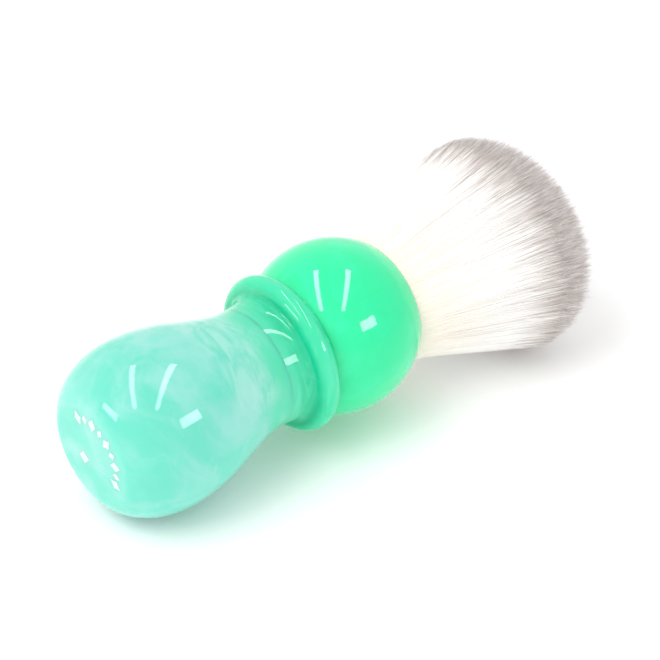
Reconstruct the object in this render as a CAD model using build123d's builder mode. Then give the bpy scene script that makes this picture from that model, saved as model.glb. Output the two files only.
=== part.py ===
from build123d import *

import os
from math import cos, radians, sin, sqrt

# A shaving brush with a turned resin handle and a synthetic knot, in millimetres.
# It stands on its foot: the origin is the middle of the foot's flat face, and +Z
# runs up the brush's axis to the tip of the knot.

# ---- driving dimensions -------------------------------------------------------------

KNOT_SIZE = 24.0  # trade size of the knot: its width where the fibres leave the handle
LOFT = 45.0  # length of the fibres that stand clear of the ball

FOOT_RADIUS = 9.5  # flat that the brush stands on
FOOT_HANDLE = 1.8  # Bezier handles, from the foot's edge up to the neck
BELLY_RADIUS = 16.4  # widest ring of the grip
BELLY_HEIGHT = 12.7
BELLY_HANDLES = (8.9, 10.2)  # below and above the widest ring
NECK_RADIUS = 11.6  # waist where the grip meets the collar
NECK_HEIGHT = 36.0
NECK_HANDLE = 7.2

COLLAR_RADIUS = 15.4
RIM_RADIUS = 2.2  # half the thickness of the collar's rounded rim
COLLAR_SWEEP = 4.6  # height of the hollow curve under the rim
SWEEP_HANDLES = (3.0, 0.9)  # pull of that curve along the neck, and in from the rim

BALL_RADIUS = 16.5
SEAT_RADIUS = 12.8  # flat where the ball sits on the collar

TENON_RADIUS = 5.0  # turned on the ball, glued through the collar into the grip
TENON_REACH = 9.0  # how far the tenon runs into the grip
TENON_END_GAP = 0.25  # glue under the tenon's end
GLUE = 0.15  # thickness of the adhesive round the tenon
BORE_RADIUS = TENON_RADIUS + GLUE

SOCKET_DEPTH = 11.3
SOCKET_GAP = 0.15  # between the fibres and the socket's wall
LIP_ROUND = 0.3
PLUG_HEIGHT = 5.7
PLUG_GLUE = 0.3  # thickness of the adhesive bed round the plug

BULB_RADIUS = 21.5  # widest ring of the fibres
BULB_REACH = 31.0  # its height above the ball's lip
THROAT_HANDLE = 9.5  # Bezier handles of the flare between the lip and that ring
BULB_HANDLE = 11.0
DOME_HANDLE = 0.55  # share of each half axis, which makes the dome a quarter ellipse

THREAD_RADIUS = 0.25  # half the thickness of the binding thread
THREAD_TURNS = 4
ROOT_RADIUS = 11.35  # the bundle where the thread binds it

MARK_DEPTH = 0.25  # depth of the paint-filled engraving in the foot
MARK_RING = 7.1  # radius of the arc of lozenges
MARK_LOZENGES = 9
MARK_START = -114.0  # degrees round the foot, from +X
MARK_SPAN = 140.0
LOZENGE_LENGTH = 2.9
LOZENGE_WIDTH = 1.9
SMALL_LOZENGE = 0.7  # size of every second lozenge beside the first
CENTRE_MARK = (-2.5, 1.9)
CENTRE_MARK_SIZE = 1.9

# ---- heights that follow ------------------------------------------------------------

RIM_BOTTOM = NECK_HEIGHT + COLLAR_SWEEP
COLLAR_TOP = RIM_BOTTOM + 2 * RIM_RADIUS
RIM_CENTRE_RADIUS = COLLAR_RADIUS - RIM_RADIUS

KNOT_RADIUS = KNOT_SIZE / 2
SOCKET_RADIUS = KNOT_RADIUS + SOCKET_GAP
LIP_RADIUS = SOCKET_RADIUS + LIP_ROUND
BALL_CENTRE = COLLAR_TOP + sqrt(BALL_RADIUS**2 - SEAT_RADIUS**2)
LIP_HEIGHT = BALL_CENTRE + sqrt(BALL_RADIUS**2 - LIP_RADIUS**2)
SOCKET_FLOOR = LIP_HEIGHT - SOCKET_DEPTH
TIP_HEIGHT = LIP_HEIGHT + LOFT
BULB_HEIGHT = LIP_HEIGHT + BULB_REACH

TENON_END = NECK_HEIGHT - TENON_REACH
PLUG_BOTTOM = SOCKET_FLOOR + PLUG_GLUE
PLUG_TOP = PLUG_BOTTOM + PLUG_HEIGHT
PLUG_RADIUS = SOCKET_RADIUS - PLUG_GLUE
THREAD_PITCH = 2.2 * THREAD_RADIUS
THREAD_BOTTOM = PLUG_TOP + 2 * THREAD_RADIUS
THREAD_TOP = THREAD_BOTTOM + THREAD_TURNS * THREAD_PITCH


def lozenge_places():
    """Angle in degrees and size of each lozenge round the foot's mark."""
    step = MARK_SPAN / (MARK_LOZENGES - 1)
    return [
        (MARK_START + step * turn, SMALL_LOZENGE if turn % 2 else 1.0)
        for turn in range(MARK_LOZENGES)
    ]


def mark_outline():
    """Sketch of the mark: an arc of lozenges and a small diamond beside the middle."""
    with BuildSketch(Plane.XY) as outline:
        for angle, size in lozenge_places():
            x = MARK_RING * cos(radians(angle))
            y = MARK_RING * sin(radians(angle))
            with Locations(Location((x, y, 0), (0, 0, angle))):
                Polygon(
                    (LOZENGE_LENGTH / 2 * size, 0),
                    (0, LOZENGE_WIDTH / 2 * size),
                    (-LOZENGE_LENGTH / 2 * size, 0),
                    (0, -LOZENGE_WIDTH / 2 * size),
                )
        with Locations(CENTRE_MARK):
            Rectangle(CENTRE_MARK_SIZE, CENTRE_MARK_SIZE, rotation=45)
    return outline.sketch


# ---- grip ---------------------------------------------------------------------------

with BuildPart() as grip:
    with BuildSketch(Plane.XZ):
        with BuildLine():
            Line((0, 0), (FOOT_RADIUS, 0))
            Bezier(
                (FOOT_RADIUS, 0),
                (FOOT_RADIUS + FOOT_HANDLE, 0),
                (BELLY_RADIUS, BELLY_HEIGHT - BELLY_HANDLES[0]),
                (BELLY_RADIUS, BELLY_HEIGHT),
            )
            Bezier(
                (BELLY_RADIUS, BELLY_HEIGHT),
                (BELLY_RADIUS, BELLY_HEIGHT + BELLY_HANDLES[1]),
                (NECK_RADIUS, NECK_HEIGHT - NECK_HANDLE),
                (NECK_RADIUS, NECK_HEIGHT),
            )
            Polyline(
                (NECK_RADIUS, NECK_HEIGHT),
                (BORE_RADIUS, NECK_HEIGHT),
                (BORE_RADIUS, TENON_END - TENON_END_GAP),
                (0, TENON_END - TENON_END_GAP),
                (0, 0),
            )
        make_face()
    revolve(axis=Axis.Z)
    add(mark_outline())
    extrude(amount=MARK_DEPTH, mode=Mode.SUBTRACT)
grip.part.label = "grip"

# ---- white paint in the engraving ---------------------------------------------------

with BuildPart() as foot_mark:
    add(mark_outline())
    extrude(amount=MARK_DEPTH)
foot_mark.part.label = "foot_mark"

# ---- collar -------------------------------------------------------------------------

with BuildPart() as collar:
    with BuildSketch(Plane.XZ):
        with BuildLine():
            Bezier(
                (NECK_RADIUS, NECK_HEIGHT),
                (NECK_RADIUS, NECK_HEIGHT + SWEEP_HANDLES[0]),
                (RIM_CENTRE_RADIUS - SWEEP_HANDLES[1], RIM_BOTTOM),
                (RIM_CENTRE_RADIUS, RIM_BOTTOM),
            )
            ThreePointArc(
                (RIM_CENTRE_RADIUS, RIM_BOTTOM),
                (COLLAR_RADIUS, RIM_BOTTOM + RIM_RADIUS),
                (RIM_CENTRE_RADIUS, COLLAR_TOP),
            )
            Polyline(
                (RIM_CENTRE_RADIUS, COLLAR_TOP),
                (BORE_RADIUS, COLLAR_TOP),
                (BORE_RADIUS, NECK_HEIGHT),
                (NECK_RADIUS, NECK_HEIGHT),
            )
        make_face()
    revolve(axis=Axis.Z)
collar.part.label = "collar"

# ---- ball, with its tenon below and the knot's socket above -------------------------

with BuildPart() as ball:
    with BuildSketch(Plane.XZ):
        with BuildLine():
            Polyline(
                (0, TENON_END),
                (TENON_RADIUS, TENON_END),
                (TENON_RADIUS, COLLAR_TOP),
                (SEAT_RADIUS, COLLAR_TOP),
            )
            ThreePointArc(
                (SEAT_RADIUS, COLLAR_TOP),
                (BALL_RADIUS, BALL_CENTRE),
                (LIP_RADIUS, LIP_HEIGHT),
            )
            RadiusArc(
                (LIP_RADIUS, LIP_HEIGHT),
                (SOCKET_RADIUS, LIP_HEIGHT - LIP_ROUND),
                LIP_ROUND,
            )
            Polyline(
                (SOCKET_RADIUS, LIP_HEIGHT - LIP_ROUND),
                (SOCKET_RADIUS, SOCKET_FLOOR),
                (0, SOCKET_FLOOR),
                (0, TENON_END),
            )
        make_face()
    revolve(axis=Axis.Z)
ball.part.label = "ball"

# ---- adhesive round the tenon, a thin sleeve with a closed end ----------------------

with BuildPart() as tenon_glue:
    with BuildSketch(Plane.XZ):
        with BuildLine():
            Polyline(
                (0, TENON_END - TENON_END_GAP),
                (BORE_RADIUS, TENON_END - TENON_END_GAP),
                (BORE_RADIUS, COLLAR_TOP),
                (TENON_RADIUS, COLLAR_TOP),
                (TENON_RADIUS, TENON_END),
                (0, TENON_END),
                close=True,
            )
        make_face()
    revolve(axis=Axis.Z)
tenon_glue.part.label = "tenon_glue"

# ---- adhesive bed of the knot, a thin cup -------------------------------------------

with BuildPart() as knot_glue:
    with BuildSketch(Plane.XZ):
        with BuildLine():
            Polyline(
                (0, SOCKET_FLOOR),
                (SOCKET_RADIUS, SOCKET_FLOOR),
                (SOCKET_RADIUS, PLUG_TOP),
                (PLUG_RADIUS, PLUG_TOP),
                (PLUG_RADIUS, PLUG_BOTTOM),
                (0, PLUG_BOTTOM),
                close=True,
            )
        make_face()
    revolve(axis=Axis.Z)
knot_glue.part.label = "knot_glue"

# ---- resin plug that holds the roots of the fibres ----------------------------------

with BuildPart() as knot_plug:
    with Locations((0, 0, PLUG_BOTTOM)):
        Cylinder(PLUG_RADIUS, PLUG_HEIGHT, align=(Align.CENTER, Align.CENTER, Align.MIN))
    chamfer(knot_plug.edges().sort_by(Axis.Z)[0], PLUG_GLUE)
knot_plug.part.label = "knot_plug"

# ---- turns of thread that bind the fibres above the plug ----------------------------

with BuildPart() as binding_thread:
    for turn in range(THREAD_TURNS):
        with Locations((0, 0, THREAD_BOTTOM + turn * THREAD_PITCH)):
            Torus(ROOT_RADIUS + THREAD_RADIUS, THREAD_RADIUS)
binding_thread.part.label = "binding_thread"

# ---- bundle of fibres: bound roots, straight throat, bulb with a domed tip ----------

with BuildPart() as knot_fibres:
    with BuildSketch(Plane.XZ):
        with BuildLine():
            Polyline(
                (0, TIP_HEIGHT),
                (0, PLUG_TOP),
                (ROOT_RADIUS, PLUG_TOP),
                (ROOT_RADIUS, THREAD_TOP),
                (KNOT_RADIUS, LIP_HEIGHT),
            )
            Bezier(
                (KNOT_RADIUS, LIP_HEIGHT),
                (KNOT_RADIUS, LIP_HEIGHT + THROAT_HANDLE),
                (BULB_RADIUS, BULB_HEIGHT - BULB_HANDLE),
                (BULB_RADIUS, BULB_HEIGHT),
            )
            Bezier(
                (BULB_RADIUS, BULB_HEIGHT),
                (BULB_RADIUS, BULB_HEIGHT + DOME_HANDLE * (TIP_HEIGHT - BULB_HEIGHT)),
                (BULB_RADIUS * DOME_HANDLE, TIP_HEIGHT),
                (0, TIP_HEIGHT),
            )
        make_face()
    revolve(axis=Axis.Z)
knot_fibres.part.label = "knot_fibres"

# ---- one STEP file for each piece ---------------------------------------------------

os.makedirs("parts", exist_ok=True)
PIECES = [
    grip,
    foot_mark,
    collar,
    ball,
    tenon_glue,
    knot_glue,
    knot_plug,
    binding_thread,
    knot_fibres,
]
for piece in PIECES:
    export_step(piece.part, f"parts/{piece.part.label}.step")
    print(piece.part.label, round(piece.part.volume, 1), "mm3")
print("overall height", round(TIP_HEIGHT, 2), "lip height", round(LIP_HEIGHT, 2))
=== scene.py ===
from math import cos, pi, radians, sin, sqrt

import bpy
import numpy as np
from mathutils import Matrix, Vector


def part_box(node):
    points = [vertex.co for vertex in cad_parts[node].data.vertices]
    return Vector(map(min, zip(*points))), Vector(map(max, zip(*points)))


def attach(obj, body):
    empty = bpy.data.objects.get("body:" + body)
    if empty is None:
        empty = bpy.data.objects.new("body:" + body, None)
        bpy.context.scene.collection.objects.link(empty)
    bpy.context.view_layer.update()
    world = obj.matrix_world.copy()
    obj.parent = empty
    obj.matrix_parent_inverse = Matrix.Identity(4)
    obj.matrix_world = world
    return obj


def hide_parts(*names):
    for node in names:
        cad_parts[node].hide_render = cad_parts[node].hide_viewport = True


# The looks of a shaving brush: polished resin handle, soft fibre knot. The brush's own
# frame stands it on its foot, but it is shown lying on its side, so the floor here is a
# steep plane that touches the belly of the grip and the flank of the knot.

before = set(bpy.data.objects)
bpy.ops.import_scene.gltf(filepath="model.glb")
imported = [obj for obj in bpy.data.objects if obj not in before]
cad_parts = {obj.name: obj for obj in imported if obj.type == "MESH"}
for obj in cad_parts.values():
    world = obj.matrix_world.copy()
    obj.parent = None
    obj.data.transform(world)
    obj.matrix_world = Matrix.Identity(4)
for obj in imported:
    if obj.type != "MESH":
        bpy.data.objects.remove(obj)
bpy.ops.object.select_all(action="DESELECT")
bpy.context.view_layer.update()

MM = 0.001

# ---- places that come from the frame ------------------------------------------------

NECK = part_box("grip")[1].z
BELLY_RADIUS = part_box("grip")[1].x
COLLAR_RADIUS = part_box("collar")[1].x
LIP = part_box("ball")[1].z
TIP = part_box("knot_fibres")[1].z
LOFT = TIP - LIP  # how far the fibres stand clear of the ball
BELLY_HEIGHT = 12.7 * MM
BALL_RADIUS = 16.5 * MM
KNOT_RADIUS = 12.0 * MM
LIP_RADIUS = KNOT_RADIUS + 0.45 * MM
BALL_CENTRE = Vector((0, 0, LIP - sqrt(BALL_RADIUS**2 - LIP_RADIUS**2)))

# ---- how the brush lies, and where it is seen from ----------------------------------

TILT = radians(3.9)  # the axis rises this much from the floor, towards the knot
HEADING = radians(49.3)  # the knot points this far right of straight ahead
PITCH = radians(32.3)  # the camera looks down by this much
DISTANCE = 444.6 * MM
FOCAL = 130.9  # millimetres, on the 36 mm sensor
AIM_LEFT = 0.55 * MM  # how far the camera aims past the ball's middle
AIM_BELOW = 0.85 * MM

UP = Vector((0, -cos(TILT), sin(TILT)))
FLOOR_DROP = BELLY_RADIUS * cos(TILT) - BELLY_HEIGHT * sin(TILT) + 0.04 * MM
ALONG = (Vector((0, 0, 1)) - UP * sin(TILT)).normalized()
ACROSS = ALONG.cross(UP)
RIGHT = ALONG * sin(HEADING) + ACROSS * cos(HEADING)
AHEAD = UP.cross(RIGHT)


def place_from(middle, right, ahead, up):
    """A point given by its distances in metres from another, over the floor."""
    return middle + RIGHT * right + AHEAD * ahead + UP * up


def make_camera():
    """Looks down at the ball, a little off its middle, with the floor level."""
    view_up = UP * cos(PITCH) + AHEAD * sin(PITCH)
    back = UP * sin(PITCH) - AHEAD * cos(PITCH)
    place = BALL_CENTRE + back * DISTANCE - RIGHT * AIM_LEFT - view_up * AIM_BELOW
    data = bpy.data.cameras.new("camera")
    data.lens = FOCAL
    data.clip_start = 0.01
    camera = bpy.data.objects.new("camera", data)
    bpy.context.scene.collection.objects.link(camera)
    turn = Matrix((RIGHT, view_up, back)).transposed().to_4x4()
    camera.matrix_world = Matrix.Translation(place) @ turn
    bpy.context.scene.camera = camera


# ---- shader maths -------------------------------------------------------------------


class Value:
    """A socket in a node tree, for use in Python expressions."""

    def __init__(self, recipe, socket):
        self.recipe = recipe
        self.socket = socket

    def math(self, operation, *values):
        settings = {"operation": operation}
        return self.recipe.node("ShaderNodeMath", settings, dict(enumerate(values)))

    def __add__(self, other):
        return self.math("ADD", self, other)

    __radd__ = __add__

    def __sub__(self, other):
        return self.math("SUBTRACT", self, other)

    def __rsub__(self, other):
        return self.math("SUBTRACT", other, self)

    def __mul__(self, other):
        return self.math("MULTIPLY", self, other)

    __rmul__ = __mul__

    def __pow__(self, other):
        return self.math("POWER", self, other)

    def smooth(self, low, high, start=0.0, end=1.0):
        """Eases from start to end as this value goes from low to high."""
        settings = {"interpolation_type": "SMOOTHSTEP"}
        values = {0: self, 1: low, 2: high, 3: start, 4: end}
        return self.recipe.node("ShaderNodeMapRange", settings, values)


class Recipe:
    """A node tree under construction."""

    def __init__(self, tree):
        self.tree = tree
        tree.nodes.clear()

    def node(self, kind, settings=None, values=None, output=0):
        """Adds a node, sets it up, links or fills its inputs and gives one output."""
        made = self.tree.nodes.new(kind)
        for key, setting in (settings or {}).items():
            setattr(made, key, setting)
        for key, value in (values or {}).items():
            if isinstance(value, Value):
                self.tree.links.new(value.socket, made.inputs[key])
            else:
                made.inputs[key].default_value = value
        return Value(self, made.outputs[output]) if made.outputs else None

    def mix(self, factor, first, second):
        """Blend of two colours."""
        settings = {"data_type": "RGBA"}
        values = {0: factor, 6: first, 7: second}
        return self.node("ShaderNodeMix", settings, values, output=2)

    def noise(self, place, scale, detail=3.0, roughness=0.5, distortion=0.0):
        """Cloudy value around a half, with features 1/scale metres across."""
        values = {
            "Vector": place,
            "Scale": scale,
            "Detail": detail,
            "Roughness": roughness,
            "Distortion": distortion,
        }
        return self.node("ShaderNodeTexNoise", None, values)

    def place(self):
        """Object coordinates, which are the brush's own frame in metres."""
        return self.node("ShaderNodeTexCoord", output=3)

    def stretched(self, place, scale):
        """The place with its axes scaled, for patterns longer one way."""
        values = {"Vector": place, "Scale": scale}
        return self.node("ShaderNodeMapping", None, values)

    def moved(self, place, step):
        """The place moved by a step, to bring another stretch of a pattern into view."""
        return self.node("ShaderNodeVectorMath", {"operation": "ADD"}, {0: place, 1: step})

    def parts_of(self, place):
        """X, Y and Z of a place."""
        split = self.node("ShaderNodeSeparateXYZ", None, {0: place}).socket.node
        return [Value(self, split.outputs[axis]) for axis in range(3)]

    def attribute(self, name):
        """A number that the mesh holds at each of its points."""
        return self.node("ShaderNodeAttribute", {"attribute_name": name}, output=2)

    def bump(self, height, distance):
        """Normal from a height value, with its relief in metres."""
        values = {"Strength": 1.0, "Distance": distance, "Height": height}
        return self.node("ShaderNodeBump", None, values)

    def finish_as(self, shader):
        """Makes the shader the tree's surface."""
        self.node("ShaderNodeOutputMaterial", None, {"Surface": shader})

    def finish_with(self, values):
        """Makes one Principled shader with these inputs the tree's surface."""
        self.finish_as(self.node("ShaderNodeBsdfPrincipled", None, values))


def srgb(red, green, blue):
    """Linear colour of an everyday 0 to 255 one."""
    shares = [channel / 255 for channel in (red, green, blue)]
    linear = [
        share / 12.92 if share <= 0.04045 else ((share + 0.055) / 1.055) ** 2.4
        for share in shares
    ]
    return (*linear, 1.0)


def new_recipe(name):
    """A new material and the recipe of its node tree."""
    material = bpy.data.materials.new(name)
    material.use_nodes = True
    return material, Recipe(material.node_tree)


# ---- materials ----------------------------------------------------------------------

WHITE = (1, 1, 1, 1)
RESIN_IOR = 1.5
NECK_GREEN = srgb(78, 210, 170)  # the grip and the collar meet in this colour


def green_at_neck(r, place):
    """How green the resin is, rising unevenly towards the neck."""
    height = r.parts_of(place)[2]
    warp = r.noise(place, 70.0, detail=3.0)
    return (height + (warp - 0.5) * (8 * MM)).smooth(NECK - 9 * MM, NECK - 0.5 * MM)


def pearl_resin():
    """Milky aqua resin with soft clouds, and pearly bands round it below the neck."""
    material, r = new_recipe("pearl_resin")
    place = r.place()
    height = r.parts_of(place)[2]
    drift = r.moved(place, (-0.23, 0.16, -0.12))
    clouds = r.noise(drift, 70.0, detail=4.0, roughness=0.5, distortion=1.2)
    banded = r.stretched(drift, (0.7, 0.7, 1.6))
    bands = r.noise(banded, 190.0, detail=5.0, roughness=0.6, distortion=1.0)
    patches = r.noise(drift, 60.0, detail=2.0)
    near_neck = height.smooth(18 * MM, 26 * MM) * height.smooth(NECK + 2 * MM, NECK - 6 * MM)
    pearl = near_neck * patches.smooth(0.38, 0.55) * bands.smooth(0.35, 0.62)
    base = r.mix(clouds.smooth(0.36, 0.66), srgb(104, 209, 187), srgb(140, 212, 200))
    base = r.mix(bands.smooth(0.5, 0.75) * 0.2, base, srgb(160, 222, 212))
    base = r.mix(green_at_neck(r, place), base, NECK_GREEN)
    base = r.mix(pearl * 0.6, base, srgb(172, 222, 213))
    scuffs = r.noise(place, 900.0, detail=2.0)
    r.finish_with({
        "Base Color": base,
        "Roughness": scuffs.smooth(0.35, 0.8, 0.04, 0.1),
        "IOR": RESIN_IOR,
        "Subsurface Weight": 0.6,
        "Subsurface Radius": (0.6, 1.0, 0.9),
        "Subsurface Scale": 2.5 * MM,
    })
    return material


def clear_resin():
    """Clear green resin, darkened above the neck by painted shade and paled at its rounded
    edge by a painted highlight.
    """
    material, r = new_recipe("clear_resin")
    place = r.place()
    x, y, height = r.parts_of(place)
    radius = (x * x + y * y) ** 0.5
    clouds = r.noise(place, 120.0, detail=3.0, distortion=1.0)
    layered = r.stretched(place, (0.4, 0.4, 2.2))
    layers = r.noise(layered, 260.0, detail=3.0, distortion=0.6)
    # Painted highlight: the resin pales towards its outer edge, standing in for light that
    # shines through the thin resin there.
    painted_edge_light = radius.smooth(COLLAR_RADIUS - 2.2 * MM, COLLAR_RADIUS - 0.1 * MM)
    # Painted shade: above the neck the resin darkens, in patches, standing in for the depth
    # and shade of the clear resin's dish.
    painted_depth_shade = height.smooth(NECK + 0.5 * MM, NECK + 3.5 * MM)
    base = r.mix(painted_depth_shade * clouds.smooth(0.1, 0.5), NECK_GREEN, srgb(24, 196, 148))
    base = r.mix(painted_edge_light, base, srgb(60, 212, 164))
    base = r.mix(layers.smooth(0.5, 0.7) * 0.4, base, srgb(96, 222, 182))
    base = r.mix(layers.smooth(0.48, 0.3) * 0.4, base, srgb(14, 178, 130))
    r.finish_with({
        "Base Color": base,
        "Roughness": clouds.smooth(0.3, 0.8, 0.03, 0.07),
        "IOR": RESIN_IOR,
        "Subsurface Weight": 0.6,
        "Subsurface Radius": (0.5, 1.0, 0.8),
        "Subsurface Scale": 1.0 * MM,
    })
    return material


def mint_resin():
    """Opaque mint resin, polished, with faint paler clouds."""
    material, r = new_recipe("mint_resin")
    place = r.place()
    clouds = r.noise(place, 75.0, detail=4.0, roughness=0.6, distortion=1.2)
    scuffs = r.noise(place, 1100.0, detail=2.0)
    r.finish_with({
        "Base Color": r.mix(clouds.smooth(0.4, 0.72), srgb(14, 223, 152), srgb(34, 229, 166)),
        "Roughness": scuffs.smooth(0.35, 0.8, 0.04, 0.09),
        "IOR": RESIN_IOR,
        "Subsurface Weight": 0.15,
        "Subsurface Radius": (0.3, 1.0, 0.7),
        "Subsurface Scale": 2 * MM,
        "Coat Weight": 0.3,
        "Coat Roughness": 0.02,
    })
    return material


def fibre_white():
    """White fibres with grey-brown tips of uneven strength, a cream tint of painted shade near
    the roots, and a faint glow of painted light.
    """
    material, r = new_recipe("fibre_white")
    shade = r.attribute("strand_shade")
    white = r.mix(shade, srgb(255, 254, 252), srgb(251, 248, 245))
    # Painted shade: a cream tint darkens the white near the roots.
    white = r.mix(r.attribute("painted_root_shade") * 0.8, white, srgb(252, 240, 225))
    tip = r.mix(shade, srgb(213, 198, 192), srgb(146, 129, 124))
    colour = r.mix(r.attribute("tip_grey"), white, tip)
    r.finish_with({
        "Base Color": colour,
        "Roughness": shade.smooth(0.0, 1.0, 0.42, 0.6),
        # Painted light: the fibres glow faintly in their own colour, standing in for light
        # scattered among the strands.
        "Emission Color": colour,
        "Emission Strength": 0.12,
    })
    return material


def fibre_depth():
    """The packed fibres behind the outer ones: a white streaked mass, grey at its dome."""
    material, r = new_recipe("fibre_depth")
    place = r.place()
    height = r.parts_of(place)[2]
    streaks = r.noise(r.stretched(place, (1.0, 1.0, 0.06)), 2600.0, detail=2.0)
    grey = height.smooth(LIP + 24 * MM, TIP - 6 * MM) * streaks.smooth(0.3, 0.6)
    base = r.mix(streaks.smooth(0.35, 0.65), srgb(252, 249, 245), srgb(255, 254, 252))
    r.finish_with({
        "Base Color": r.mix(grey * 0.6, base, srgb(190, 180, 178)),
        "Roughness": 0.7,
        "Normal": r.bump(streaks, 0.1 * MM),
    })
    return material


def two_tone(name, dark, light, roughness, grain):
    """Two tones in fine grain, for the paint and for the pieces inside the handle."""
    material, r = new_recipe(name)
    speckle = r.noise(r.place(), grain, detail=3.0)
    r.finish_with({
        "Base Color": r.mix(speckle.smooth(0.35, 0.65), dark, light),
        "Roughness": speckle.smooth(0.2, 0.8, roughness, roughness + 0.15),
        "Normal": r.bump(speckle, 0.02 * MM),
    })
    return material


def paper_white():
    """The floor: matt white, faintly bright itself, and clear seen from below."""
    material, r = new_recipe("paper_white")
    grain = r.noise(r.place(), 300.0, detail=2.0)
    tone = r.mix(grain, (0.93, 0.93, 0.93, 1), (0.95, 0.95, 0.95, 1))
    sheet = r.node("ShaderNodeBsdfDiffuse", None, {"Color": tone})
    clear = r.node("ShaderNodeBsdfTransparent")
    behind = r.node("ShaderNodeNewGeometry", output="Backfacing")
    glow = r.node("ShaderNodeEmission", None, {"Color": WHITE, "Strength": 0.05})
    lit = r.node("ShaderNodeAddShader", None, {0: sheet, 1: glow})
    r.finish_as(r.node("ShaderNodeMixShader", None, {0: behind, 1: lit, 2: clear}))
    return material


# ---- floor, world and lamps ---------------------------------------------------------

FLOOR_SIZE = 4.0
LIGHT_BELOW = 0.95  # strength of the room's light, under the floor and over it
LIGHT_ABOVE = 1.0
LIGHT_BEHIND = 1.2  # how bright the room itself looks
STRIP_PLACES = {"strip_left": -0.11, "strip_right": 0.096}  # metres right of the ball
STRIP_NEARER = 0.08
STRIP_HEIGHT = 0.34
STRIP_SIZE = (0.035, 0.4)
BOX_RIGHT_SIZE = (0.078, 0.044)
BOX_LEFT_SIZE = (0.1, 0.045)
KEY_SIZE = (0.42, 0.42)
GLINT_RADIANCE = 8.0
KEY_RADIANCE = 3.4


def make_floor():
    """A wide white sheet that casts no shadow on what is under it."""
    turn = UP.to_track_quat("Z", "Y").to_euler()
    bpy.ops.mesh.primitive_plane_add(size=FLOOR_SIZE, location=UP * -FLOOR_DROP, rotation=turn)
    floor = bpy.context.object
    floor.name = "floor"
    bpy.ops.object.transform_apply(location=True, rotation=True, scale=True)
    floor.data.materials.append(paper_white())
    floor.visible_shadow = False
    floor.select_set(False)


def make_world():
    """Pale room: bright above the floor, a little dimmer below it, plain white behind."""
    world = bpy.data.worlds.new("studio")
    bpy.context.scene.world = world
    world.use_nodes = True
    r = Recipe(world.node_tree)
    direction = r.node("ShaderNodeTexCoord", output=0)
    dot = {"operation": "DOT_PRODUCT"}
    rise = r.node("ShaderNodeVectorMath", dot, {0: direction, 1: UP}, output=1)
    seen = r.node("ShaderNodeLightPath", output="Is Camera Ray")
    room = rise.smooth(-0.05, 0.02, LIGHT_BELOW, LIGHT_ABOVE)
    strength = room * (1 - seen) + seen * LIGHT_BEHIND
    light = r.node("ShaderNodeBackground", None, {0: WHITE, 1: strength})
    r.node("ShaderNodeOutputWorld", None, {0: light})


def make_lamp(name, place, aim, size, radiance):
    """A flat soft lamp at a place, aimed at a point, its second side upright or ahead."""
    width, length = size
    data = bpy.data.lights.new(name, "AREA")
    data.shape = "RECTANGLE"
    data.size = width
    data.size_y = length
    data.energy = radiance * pi * width * length
    lamp = bpy.data.objects.new(name, data)
    bpy.context.scene.collection.objects.link(lamp)
    back = (place - aim).normalized()
    upright = AHEAD if abs(back.dot(UP)) > 0.7 else UP
    side = upright.cross(back).normalized()
    turn = Matrix((side, back.cross(side), back)).transposed().to_4x4()
    lamp.matrix_world = Matrix.Translation(place) @ turn
    lamp.visible_camera = False
    return lamp


def make_glint(name, place, aim, size):
    """A lamp that shows only as a highlight on polished resin."""
    lamp = make_lamp(name, place, aim, size, GLINT_RADIANCE)
    lamp.visible_diffuse = False


def make_lamps():
    """Two strips overhead and two small boxes for the glints, and a soft key light."""
    for name, right in STRIP_PLACES.items():
        over = place_from(BALL_CENTRE, right, -STRIP_NEARER, STRIP_HEIGHT)
        under = place_from(BALL_CENTRE, right, -STRIP_NEARER, 0)
        make_glint(name, over, under, STRIP_SIZE)
    box_right = place_from(BALL_CENTRE, right=0.15, ahead=-0.125, up=0.088)
    make_glint("box_right", box_right, BALL_CENTRE, BOX_RIGHT_SIZE)
    grip_middle = Vector((0, 0, BELLY_HEIGHT))
    box_left = place_from(grip_middle, right=-0.188, ahead=-0.115, up=0.117)
    make_glint("box_left", box_left, grip_middle, BOX_LEFT_SIZE)
    key_place = place_from(BALL_CENTRE, right=-0.3, ahead=-0.26, up=0.54)
    key = make_lamp("key", key_place, BALL_CENTRE, KEY_SIZE, KEY_RADIANCE)
    key.visible_glossy = False


# ---- fibres: how they fan out -------------------------------------------------------

ROOT_DEPTH = 1.5 * MM  # the strands start this far down in the socket
THROAT = 5.5 * MM  # straight part above the lip
FLARE_SLOPE = 0.33
FLARE_STEP = 1.56 * MM  # quick widening at the end of the throat
FLARE_STEP_LENGTH = 3.5 * MM
BULGE = 1.3 * MM  # the fibres spring out over the lip
BULGE_HEIGHT = 3.0 * MM
BULB_REACH = 31.0 * MM  # widest ring above the lip
BULB_RADIUS = 21.5 * MM
SAG = 2.5 * MM  # how far the tip hangs towards the floor
FLOOR_GAP = 0.12 * MM  # the fibres stay this far off the floor


def fan_radius(height):
    """Radius of the outermost strand at a height above the lip."""
    rise = np.logaddexp(0, (height - THROAT) / MM) * MM
    step = FLARE_STEP * (1 - np.exp(-rise / FLARE_STEP_LENGTH))
    climb = np.maximum(height, 0) / BULGE_HEIGHT
    bulge = BULGE * climb * np.exp(1 - climb)
    return KNOT_RADIUS + FLARE_SLOPE * rise + step + bulge


def strand_end(share):
    """Height above the lip where a strand with this share of the fan meets the dome."""
    dome = LOFT - BULB_REACH
    low = np.full_like(share, BULB_REACH * 0.9)
    high = np.full_like(share, LOFT)
    for _ in range(30):
        middle = (low + high) / 2
        radius = share * fan_radius(middle)
        over = np.maximum(middle - BULB_REACH, 0)
        outside = (radius / BULB_RADIUS) ** 2 + (over / dome) ** 2 > 1
        low = np.where(outside, low, middle)
        high = np.where(outside, middle, high)
    return low


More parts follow.
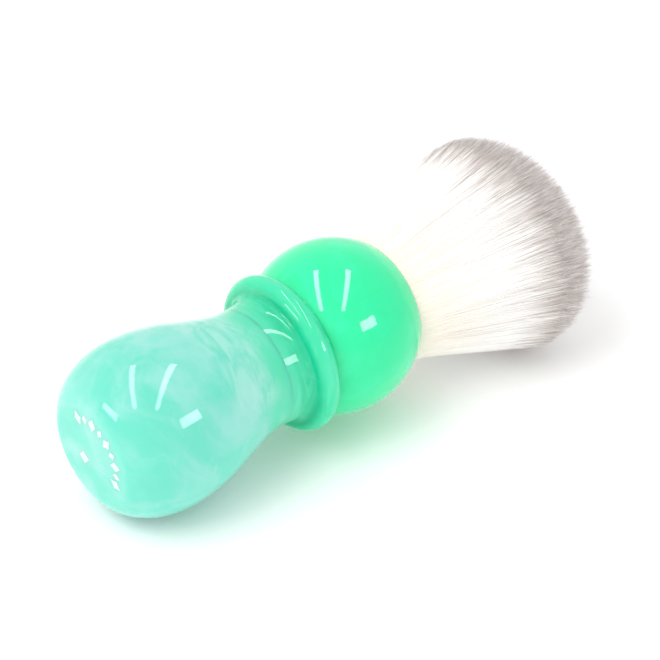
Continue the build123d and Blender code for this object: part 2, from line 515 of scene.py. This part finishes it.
def sag_at(height):
    """How far the knot hangs towards the floor at a height above the lip."""
    return SAG * np.clip(height / LOFT, 0, 1.1) ** 2


def on_the_floor(points):
    """Lifts the points that would lie under the floor, as the knot's flank is pressed."""
    height = points @ np.array(UP) + FLOOR_DROP
    lift = np.maximum(FLOOR_GAP - height, 0)
    return points + lift[..., None] * np.array(UP)


# ---- fibres: the strands ------------------------------------------------------------

STRANDS_IN_TUFT = 4600
TUFTS = 7
ONE_EACH = (STRANDS_IN_TUFT, 1)  # an array with one row for each strand
SEED = 4100
STRAND_RADIUS = 0.085 * MM
STRAND_THICKNESS = (0.75, 1.2)  # thinnest and thickest, as shares of that radius
STRAND_CUTS = (0.22, 0.42, 0.58, 0.72, 0.84, 0.94)  # where a strand can bend
TAPER = 0.25  # share of a strand's length that narrows to its tip

OUTER_STRANDS = 0.42  # share of the strands that is packed near the fan's outside
OUTER_DEPTH = 0.13  # how deep that layer is, as a share of the fan
LENGTH_SPREAD = 0.65 * MM
SHORT_STRANDS = 0.1  # share of the strands that end early
SHORT_BY = 6 * MM  # how much earlier the shortest ends
CLUMPS = 900
CLUMP_SPREAD = 0.2 * MM  # difference in length between clumps
CLUMP_PULL = 0.2  # how far the tips draw together
LEAN = 0.012  # a strand's own wander, as a share of the fan
WAVE = 0.7  # how much of it bows the middle

GREY_LENGTH = 9.2 * MM  # the grey reaches this far down from the tip
GREY_SPREAD = 2.2 * MM
ROOT_SHADE_HEIGHT = 16 * MM  # the painted shade near the roots, a cream tint, fades out here
OUTSIDE = 0.9  # share of the fan past which a strand is one of the outermost
PALE_OUTSIDE = 0.35  # share of the outermost strands whose tips stay nearly white
PALE_INSIDE = 0.12
PALE_GREY = 0.15


def make_strand():
    """One tapering three-sided strand, 1 m tall and of radius 1 m, cut into lengths."""
    bpy.ops.mesh.primitive_cone_add(
        vertices=3, radius1=1.0, depth=1.0, location=(0, 0, 0.5), end_fill_type="NGON"
    )
    strand = bpy.context.object
    strand.name = "strand"
    bpy.ops.object.transform_apply(location=True, rotation=True, scale=True)
    bpy.ops.object.mode_set(mode="EDIT")
    for cut in STRAND_CUTS:
        bpy.ops.mesh.select_all(action="SELECT")
        bpy.ops.mesh.bisect(plane_co=(0, 0, cut), plane_no=(0, 0, 1))
    bpy.ops.object.mode_set(mode="OBJECT")
    points = np.array([v.co for v in strand.data.vertices], float)
    faces = [tuple(p.vertices) for p in strand.data.polygons]
    bpy.data.objects.remove(strand)
    return points, faces


def strand_paths(random):
    """Each strand's place in the fan, that of its clump's middle, and its end's height.

    A place is a complex share of the fan's radius, so 1 is its edge along +X.
    """
    packed = np.sqrt(random.random(ONE_EACH))
    outer = 1 - OUTER_DEPTH * random.random(ONE_EACH) ** 2.2
    share = np.where(random.random(ONE_EACH) < OUTER_STRANDS, outer, packed)
    spot = share * np.exp(2j * pi * random.random(ONE_EACH))
    clump_share = np.sqrt(random.random(CLUMPS))
    clump_spot = clump_share * np.exp(2j * pi * random.random(CLUMPS))
    nearest = np.abs(spot - clump_spot).argmin(axis=1, keepdims=True)
    end = strand_end(share) + random.normal(0, CLUMP_SPREAD, CLUMPS)[nearest]
    end += random.normal(0, LENGTH_SPREAD, ONE_EACH)
    short = random.random(ONE_EACH) < SHORT_STRANDS
    end -= short * random.random(ONE_EACH) ** 2 * SHORT_BY
    return spot, clump_spot[nearest], end


def lean(random):
    """A small sideways step for each strand, as a complex share of the fan."""
    return random.normal(0, LEAN, (STRANDS_IN_TUFT, 2)) @ np.array([[1], [1j]])


def strand_sides(random, strand_points):
    """The step of every point from its strand's middle line to its side."""
    around = strand_points[:, 0] + 1j * strand_points[:, 1]
    size = np.abs(around)
    around = np.where(size > 1e-6, around / np.maximum(size, 1e-6), 0)
    turn = np.exp(2j * pi * random.random(ONE_EACH))
    narrowing = np.clip((1 - strand_points[:, 2]) / TAPER, 0, 1) ** 0.6
    thickness = STRAND_RADIUS * random.uniform(*STRAND_THICKNESS, ONE_EACH)
    return thickness * narrowing * around * turn


def tuft_facts(random, spot, end, along, height):
    """What the fibres' finish reads at every point: its greyness, its strand's shade of white,
    and the painted shade near the roots.
    """
    from_tip = (1 - along) * end
    grey_length = random.normal(GREY_LENGTH, GREY_SPREAD, ONE_EACH)
    grey = np.clip(1.15 - from_tip / grey_length, 0, 1) ** 1.3
    pale = np.where(np.abs(spot) > OUTSIDE, PALE_OUTSIDE, PALE_INSIDE)
    strength = np.where(random.random(ONE_EACH) < pale, PALE_GREY, 1.0)
    strength *= random.uniform(0.5, 1.0, ONE_EACH)
    return {
        "tip_grey": grey * strength,
        "strand_shade": np.broadcast_to(random.random(ONE_EACH), height.shape),
        # painted shade: a cream tint near the roots, fading with height
        "painted_root_shade": np.clip(1 - height / ROOT_SHADE_HEIGHT, 0, 1),
    }


def make_tuft(number, strand_points, strand_faces, material):
    """One share of the knot's strands, fanned over the whole bulb, as a single mesh."""
    random = np.random.default_rng(SEED + number)
    spot, clump, end = strand_paths(random)
    along = strand_points[:, 2]
    height = -ROOT_DEPTH + along * (end + ROOT_DEPTH)
    place = spot + (clump - spot) * CLUMP_PULL * along**2.5
    place = place + lean(random) * WAVE * np.sin(along * pi)
    place = place + lean(random) * along**3
    place = place * fan_radius(height) + strand_sides(random, strand_points)
    sag = sag_at(height)
    y = place.imag + sag * cos(TILT)
    z = LIP + height - sag * sin(TILT)
    points = on_the_floor(np.stack([place.real, y, z], axis=-1)).reshape(-1, 3)
    faces = [
        tuple(corner + len(along) * strand for corner in face)
        for strand in range(STRANDS_IN_TUFT)
        for face in strand_faces
    ]
    mesh = bpy.data.meshes.new(f"tuft_{number}")
    mesh.from_pydata(points, [], faces)
    for name, values in tuft_facts(random, spot, end, along, height).items():
        attribute = mesh.attributes.new(name, "FLOAT", "POINT")
        attribute.data.foreach_set("value", values.astype(np.float32).ravel())
    mesh.shade_smooth()
    mesh.materials.append(material)
    tuft = bpy.data.objects.new(f"tuft_{number}", mesh)
    bpy.context.scene.collection.objects.link(tuft)
    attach(tuft, "root")


# ---- fibres: the core behind the strands --------------------------------------------

CORE_SHARE = 0.9  # its radius, as a share of the fan's
CORE_BELOW_TIP = 2.5 * MM
CORE_RINGS = 40
CORE_SIDES = 72
CORE_POLE = 0.4 * MM  # radius of its small flat top


def make_core():
    """The mass of fibres behind the outer ones, turned from an outline."""
    top = LOFT - CORE_BELOW_TIP
    heights = np.linspace(-ROOT_DEPTH, top, CORE_RINGS)
    over = np.clip((heights - BULB_REACH) / (top - BULB_REACH), 0, 1)
    radii = CORE_SHARE * fan_radius(np.minimum(heights, BULB_REACH)) * np.sqrt(1 - over**2)
    bpy.ops.mesh.primitive_cylinder_add(
        vertices=CORE_SIDES, radius=1.0, depth=2.0, end_fill_type="TRIFAN", location=(0, 0, 0)
    )
    core = bpy.context.object
    core.name = "fibre_core"
    bpy.ops.object.mode_set(mode="EDIT")
    for cut in np.linspace(-1, 1, CORE_RINGS)[1:-1]:
        bpy.ops.mesh.select_all(action="SELECT")
        bpy.ops.mesh.bisect(plane_co=(0, 0, cut), plane_no=(0, 0, 1))
    bpy.ops.object.mode_set(mode="OBJECT")
    for vertex in core.data.vertices:
        ring = (vertex.co.z + 1) / 2 * (CORE_RINGS - 1)
        height = np.interp(ring, range(CORE_RINGS), heights)
        radius = max(np.interp(ring, range(CORE_RINGS), radii), CORE_POLE)
        vertex.co.x *= radius
        vertex.co.y = vertex.co.y * radius + sag_at(height)
        vertex.co.z = LIP + height
    lifted = on_the_floor(np.array([v.co for v in core.data.vertices], float))
    core.data.vertices.foreach_set("co", lifted.astype(np.float32).ravel())
    core.data.shade_smooth()
    core.data.materials.append(fibre_depth())
    core.select_set(False)
    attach(core, "root")
    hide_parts("knot_fibres")


def make_fibres():
    """The core and every tuft of strands."""
    make_core()
    points, faces = make_strand()
    material = fibre_white()
    for number in range(1, TUFTS + 1):
        make_tuft(number, points, faces, material)


# ---- finishes of the pieces that come with the frame --------------------------------


def finish_nodes():
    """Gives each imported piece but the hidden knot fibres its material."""
    glue = two_tone("epoxy_film", srgb(214, 216, 200), srgb(232, 232, 220), 0.2, 500)
    paint = two_tone("white_paint", srgb(198, 230, 222), srgb(224, 243, 237), 0.35, 2500)
    epoxy = two_tone("amber_epoxy", srgb(150, 108, 60), srgb(186, 142, 88), 0.2, 400)
    thread = two_tone("waxed_thread", srgb(206, 200, 186), srgb(232, 228, 216), 0.6, 3000)
    finishes = {
        "grip": pearl_resin(),
        "collar": clear_resin(),
        "ball": mint_resin(),
        "foot_mark": paint,
        "knot_plug": epoxy,
        "binding_thread": thread,
        "tenon_glue": glue,
        "knot_glue": glue,
    }
    for name, material in finishes.items():
        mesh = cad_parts[name].data
        mesh.materials.clear()
        mesh.materials.append(material)


make_camera()
make_floor()
make_world()
make_lamps()
finish_nodes()
make_fibres()
bpy.context.scene.view_settings.view_transform = "Standard"
